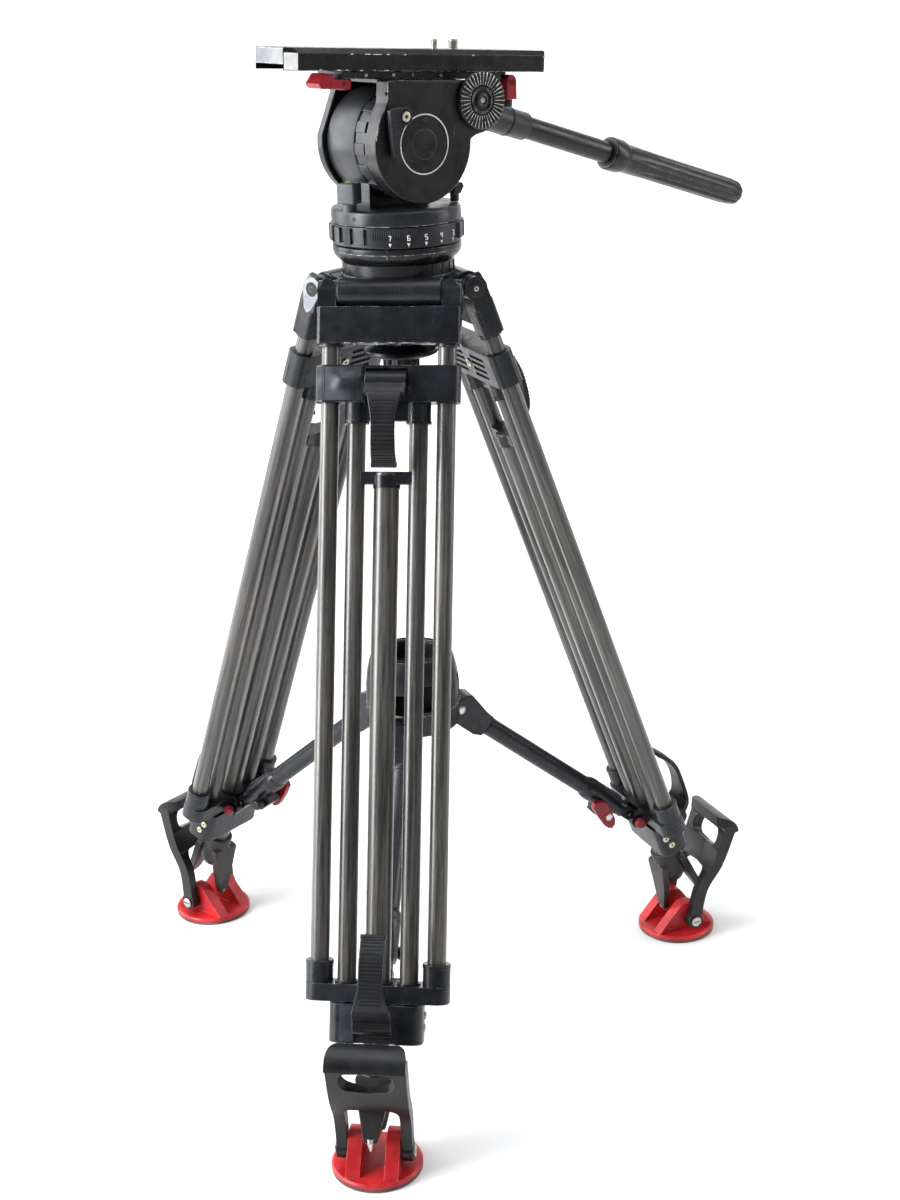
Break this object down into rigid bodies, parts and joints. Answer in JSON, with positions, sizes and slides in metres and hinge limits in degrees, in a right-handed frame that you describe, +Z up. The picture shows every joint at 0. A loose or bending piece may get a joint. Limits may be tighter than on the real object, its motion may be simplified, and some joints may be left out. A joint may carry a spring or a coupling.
{
  "type": "tripod with fluid head",
  "caption": "Collapsible video tripod with double-tube legs, mid-height spreader, rubber feet and a fluid pan-tilt head with sliding camera plate and pan arm.",
  "frame": {"origin": "middle of the object's footprint box, on the floor the feet stand on", "axes": "+Z up along the tripod, -Y towards the front leg, +X to the right seen from the front leg; the head faces 43.5 degrees away from -X towards -Y"},
  "size_m": [0.6242, 0.7252, 0.9326],
  "materials": {
    "carbon": "satin carbon weave",
    "casting": "satin",
    "plastic": "satin",
    "arm_tube": "satin",
    "anodised": "anodised",
    "red": "satin",
    "pad_red": "satin",
    "rubber": "matte",
    "grey": "satin",
    "steel": "worn"
  },
  "bodies": {
    "crown": {"crown": "casting"},
    "leg1_upper": {"leg1_outer_stage": "carbon", "leg1_yoke": "casting"},
    "leg1_middle": {"leg1_upper_clamp": "casting", "leg1_inner_stage": "carbon"},
    "leg1_lower": {"leg1_lower_stage": "carbon"},
    "leg1_upper_latch": {"leg1_upper_lever": "plastic"},
    "leg1_lower_latch": {"leg1_lower_lever": "plastic"},
    "leg1_foot": {"leg1_pad": "pad_red"},
    "leg1_foot_handle": {"leg1_handle": "rubber"},
    "leg1_arm": {"leg1_spread_fork": "casting", "leg1_spread_tube": "arm_tube"},
    "leg1_wing": {"leg1_spread_wing": "red"},
    "leg1_pin": {"leg1_release_pin": "red"},
    "leg2_upper": {"leg2_outer_stage": "carbon", "leg2_yoke": "casting"},
    "leg2_middle": {"leg2_upper_clamp": "casting", "leg2_inner_stage": "carbon"},
    "leg2_lower": {"leg2_lower_stage": "carbon"},
    "leg2_upper_latch": {"leg2_upper_lever": "plastic"},
    "leg2_lower_latch": {"leg2_lower_lever": "plastic"},
    "leg2_foot": {"leg2_pad": "pad_red"},
    "leg2_foot_handle": {"leg2_handle": "rubber"},
    "leg2_arm": {"leg2_spread_fork": "casting", "leg2_spread_tube": "arm_tube"},
    "leg2_wing": {"leg2_spread_wing": "red"},
    "leg2_pin": {"leg2_release_pin": "red"},
    "leg3_upper": {"leg3_outer_stage": "carbon", "leg3_yoke": "casting"},
    "leg3_middle": {"leg3_upper_clamp": "casting", "leg3_inner_stage": "carbon"},
    "leg3_lower": {"leg3_lower_stage": "carbon"},
    "leg3_upper_latch": {"leg3_upper_lever": "plastic"},
    "leg3_lower_latch": {"leg3_lower_lever": "plastic"},
    "leg3_foot": {"leg3_pad": "pad_red"},
    "leg3_foot_handle": {"leg3_handle": "rubber"},
    "leg3_arm": {"leg3_spread_fork": "casting", "leg3_spread_tube": "arm_tube"},
    "leg3_wing": {"leg3_spread_wing": "red"},
    "leg3_pin": {"leg3_release_pin": "red"},
    "hub": {"spreader_hub": "plastic"},
    "head_base": {"head_base": "anodised"},
    "bowl_knob": {"bowl_knob": "plastic"},
    "pan_drag": {"pan_drag_ring": "plastic"},
    "pan": {"pan_body": "anodised", "bubble_housing": "grey"},
    "pan_lock": {"pan_brake": "plastic"},
    "tilt": {"tilt_body": "anodised", "side_rosette": "steel", "plate_bed": "anodised"},
    "tilt_drag": {"tilt_drag_ring": "plastic"},
    "tilt_lock": {"tilt_brake": "plastic"},
    "plate": {"camera_plate": "anodised"},
    "screw_small": {"camera_screw_small": "steel"},
    "screw_large": {"camera_screw_large": "steel"},
    "clamp_lever": {"plate_clamp_lever": "red"},
    "release_lever": {"plate_release_lever": "red"},
    "arm_mount": {"pan_arm_clamp": "plastic"},
    "arm_slide": {"pan_arm_rod": "anodised", "pan_arm_grip": "rubber"}
  },
  "joints": [
    {"name": "leg1_spread", "type": "hinge", "parent": "crown", "child": "leg1_upper", "pos_m": [-0.00631, -0.07439, 0.7225], "axis": [1, 0, 0], "range_deg": [0, 15]},
    {"name": "leg1_extend", "type": "slide", "parent": "leg1_upper", "child": "leg1_middle", "axis": [0, -0.3437, -0.9391], "range_m": [0, 0.425]},
    {"name": "leg1_extend_lower", "type": "slide", "parent": "leg1_middle", "child": "leg1_lower", "axis": [0, -0.3437, -0.9391], "range_m": [0, 0.42]},
    {"name": "leg1_upper_lever_turn", "type": "hinge", "parent": "leg1_middle", "child": "leg1_upper_latch", "pos_m": [-0.00631, -0.11563, 0.65347], "axis": [-1, 0, 0], "range_deg": [0, 70]},
    {"name": "leg1_lower_lever_turn", "type": "hinge", "parent": "leg1_middle", "child": "leg1_lower_latch", "pos_m": [-0.00631, -0.31506, 0.13758], "axis": [1, 0, 0], "range_deg": [0, 40]},
    {"name": "leg1_foot_tilt", "type": "hinge", "parent": "leg1_lower", "child": "leg1_foot", "pos_m": [-0.00631, -0.32709, 0.02], "axis": [1, 0, 0], "range_deg": [-5, 25]},
    {"name": "leg1_handle_turn", "type": "hinge", "parent": "leg1_foot", "child": "leg1_foot_handle", "pos_m": [-0.00631, -0.32709, 0.02], "axis": [1, 0, 0], "range_deg": [0, 60]},
    {"name": "leg1_arm_turn", "type": "hinge", "parent": "leg1_upper", "child": "leg1_arm", "pos_m": [-0.00631, -0.26502, 0.14483], "axis": [1, 0, 0], "range_deg": [0, 27.19]},
    {"name": "leg1_wing_turn", "type": "hinge", "parent": "leg1_arm", "child": "leg1_wing", "pos_m": [-0.00631, -0.22964, 0.15767], "axis": [1, 0, 0], "range_deg": [-15, 100]},
    {"name": "leg1_pin_push", "type": "slide", "parent": "leg1_upper", "child": "leg1_pin", "axis": [1, 0, 0], "range_m": [-0.0015, 0.0015], "stiffness_N_per_m": 800},
    {"name": "leg2_spread", "type": "hinge", "parent": "crown", "child": "leg2_upper", "pos_m": [0.03551, -0.00194, 0.7225], "axis": [-0.5, 0.866, 0], "range_deg": [0, 15]},
    {"name": "leg2_extend", "type": "slide", "parent": "leg2_upper", "child": "leg2_middle", "axis": [0.2976, 0.1718, -0.9391], "range_m": [0, 0.425]},
    {"name": "leg2_extend_lower", "type": "slide", "parent": "leg2_middle", "child": "leg2_lower", "axis": [0.2976, 0.1718, -0.9391], "range_m": [0, 0.42]},
    {"name": "leg2_upper_lever_turn", "type": "hinge", "parent": "leg2_middle", "child": "leg2_upper_latch", "pos_m": [0.07123, 0.01868, 0.65347], "axis": [0.5, -0.866, 0], "range_deg": [0, 70]},
    {"name": "leg2_lower_lever_turn", "type": "hinge", "parent": "leg2_middle", "child": "leg2_lower_latch", "pos_m": [0.24394, 0.11839, 0.13758], "axis": [-0.5, 0.866, 0], "range_deg": [0, 40]},
    {"name": "leg2_foot_tilt", "type": "hinge", "parent": "leg2_lower", "child": "leg2_foot", "pos_m": [0.25436, 0.12441, 0.02], "axis": [-0.5, 0.866, 0], "range_deg": [-11, 25]},
    {"name": "leg2_handle_turn", "type": "hinge", "parent": "leg2_foot", "child": "leg2_foot_handle", "pos_m": [0.25436, 0.12441, 0.02], "axis": [-0.5, 0.866, 0], "range_deg": [0, 60]},
    {"name": "leg2_arm_turn", "type": "hinge", "parent": "leg2_upper", "child": "leg2_arm", "pos_m": [0.20061, 0.09338, 0.14483], "axis": [-0.5, 0.866, 0], "range_deg": [0, 27.19]},
    {"name": "leg2_wing_turn", "type": "hinge", "parent": "leg2_arm", "child": "leg2_wing", "pos_m": [0.16997, 0.07569, 0.15767], "axis": [-0.5, 0.866, 0], "range_deg": [-15, 100]},
    {"name": "leg2_pin_push", "type": "slide", "parent": "leg2_upper", "child": "leg2_pin", "axis": [-0.5, 0.866, 0], "range_m": [-0.0015, 0.0015], "stiffness_N_per_m": 800},
    {"name": "leg3_spread", "type": "hinge", "parent": "crown", "child": "leg3_upper", "pos_m": [-0.04814, -0.00194, 0.7225], "axis": [-0.5, -0.866, 0], "range_deg": [0, 15]},
    {"name": "leg3_extend", "type": "slide", "parent": "leg3_upper", "child": "leg3_middle", "axis": [-0.2976, 0.1718, -0.9391], "range_m": [0, 0.425]},
    {"name": "leg3_extend_lower", "type": "slide", "parent": "leg3_middle", "child": "leg3_lower", "axis": [-0.2976, 0.1718, -0.9391], "range_m": [0, 0.42]},
    {"name": "leg3_upper_lever_turn", "type": "hinge", "parent": "leg3_middle", "child": "leg3_upper_latch", "pos_m": [-0.08385, 0.01868, 0.65347], "axis": [0.5, 0.866, 0], "range_deg": [0, 70]},
    {"name": "leg3_lower_lever_turn", "type": "hinge", "parent": "leg3_middle", "child": "leg3_lower_latch", "pos_m": [-0.25657, 0.11839, 0.13758], "axis": [-0.5, -0.866, 0], "range_deg": [0, 40]},
    {"name": "leg3_foot_tilt", "type": "hinge", "parent": "leg3_lower", "child": "leg3_foot", "pos_m": [-0.26699, 0.12441, 0.02], "axis": [-0.5, -0.866, 0], "range_deg": [-3, 25]},
    {"name": "leg3_handle_turn", "type": "hinge", "parent": "leg3_foot", "child": "leg3_foot_handle", "pos_m": [-0.26699, 0.12441, 0.02], "axis": [-0.5, -0.866, 0], "range_deg": [0, 60]},
    {"name": "leg3_arm_turn", "type": "hinge", "parent": "leg3_upper", "child": "leg3_arm", "pos_m": [-0.21324, 0.09338, 0.14483], "axis": [-0.5, -0.866, 0], "range_deg": [0, 27.19]},
    {"name": "leg3_wing_turn", "type": "hinge", "parent": "leg3_arm", "child": "leg3_wing", "pos_m": [-0.1826, 0.07569, 0.15767], "axis": [-0.5, -0.866, 0], "range_deg": [-15, 100]},
    {"name": "leg3_pin_push", "type": "slide", "parent": "leg3_upper", "child": "leg3_pin", "axis": [-0.5, -0.866, 0], "range_m": [-0.0015, 0.0015], "stiffness_N_per_m": 800},
    {"name": "hub_lift", "type": "slide", "parent": "crown", "child": "hub", "axis": [0, 0, 1], "range_m": [0, 0.05911]},
    {"name": "bowl_level", "type": "hinge", "parent": "crown", "child": "head_base", "pos_m": [-0.00631, -0.02609, 0.73], "axis": [1, 0, 0], "range_deg": [-8, 8]},
    {"name": "bowl_knob_turn", "type": "hinge", "parent": "head_base", "child": "bowl_knob", "pos_m": [-0.00631, -0.02609, 0.65], "axis": [0, 0, 1], "continuous": true},
    {"name": "pan_drag_turn", "type": "hinge", "parent": "head_base", "child": "pan_drag", "pos_m": [-0.00631, -0.02609, 0.765], "axis": [0, 0, 1], "range_deg": [-150, 30]},
    {"name": "pan_turn", "type": "hinge", "parent": "head_base", "child": "pan", "pos_m": [-0.00631, -0.02609, 0.78], "axis": [0, 0, 1], "continuous": true},
    {"name": "pan_lock_turn", "type": "hinge", "parent": "pan", "child": "pan_lock", "pos_m": [0.04488, -0.01611, 0.8], "axis": [0, 0, 1], "range_deg": [0, 60]},
    {"name": "tilt_turn", "type": "hinge", "parent": "pan", "child": "tilt", "pos_m": [-0.00631, -0.02609, 0.847], "axis": [0.6884, -0.7254, 0], "range_deg": [-40, 73.5]},
    {"name": "tilt_drag_turn", "type": "hinge", "parent": "pan", "child": "tilt_drag", "pos_m": [-0.00631, -0.02609, 0.847], "axis": [0.6884, -0.7254, 0], "range_deg": [-150, 30]},
    {"name": "tilt_lock_turn", "type": "hinge", "parent": "tilt", "child": "tilt_lock", "pos_m": [0.0109, -0.07869, 0.87199], "axis": [0.6884, -0.7254, 0], "range_deg": [0, 45]},
    {"name": "plate_slide", "type": "slide", "parent": "tilt", "child": "plate", "axis": [0.724, 0.6871, -0.061], "range_m": [-0.05, 0.05]},
    {"name": "screw_small_turn", "type": "hinge", "parent": "plate", "child": "screw_small", "pos_m": [0.0269, 0.00543, 0.91433], "axis": [0.0443, 0.042, 0.9981], "continuous": true},
    {"name": "screw_large_turn", "type": "hinge", "parent": "plate", "child": "screw_large", "pos_m": [0.04175, 0.01952, 0.91308], "axis": [0.0443, 0.042, 0.9981], "continuous": true},
    {"name": "clamp_lever_turn", "type": "hinge", "parent": "tilt", "child": "clamp_lever", "pos_m": [-0.03926, -0.08355, 0.89897], "axis": [0.0443, 0.042, 0.9981], "range_deg": [0, 60]},
    {"name": "release_lever_turn", "type": "hinge", "parent": "tilt", "child": "release_lever", "pos_m": [0.0879, 0.03298, 0.89283], "axis": [0.6884, -0.7254, 0], "range_deg": [0, 20], "stiffness_Nm_per_rad": 0.1, "springref_deg": -5.73},
    {"name": "pan_arm_turn", "type": "hinge", "parent": "tilt", "child": "arm_mount", "pos_m": [0.00005, 0.06266, 0.87304], "axis": [0.6884, -0.7254, 0], "range_deg": [-10, 110]},
    {"name": "pan_arm_extend", "type": "slide", "parent": "arm_mount", "child": "arm_slide", "axis": [0.6918, 0.6565, -0.3007], "range_m": [-0.08, 0]}
  ],
  "couplings": [
    {"joint": "leg1_arm_turn", "follows": "leg1_spread", "ratio": 1.8095},
    {"joint": "leg2_spread", "follows": "leg1_spread", "ratio": 1},
    {"joint": "leg2_arm_turn", "follows": "leg1_spread", "ratio": 1.8095},
    {"joint": "leg3_spread", "follows": "leg1_spread", "ratio": 1},
    {"joint": "leg3_arm_turn", "follows": "leg1_spread", "ratio": 1.8095},
    {"joint": "hub_lift", "follows": "leg1_spread", "m_per_rad": 0.22501}
  ]
}
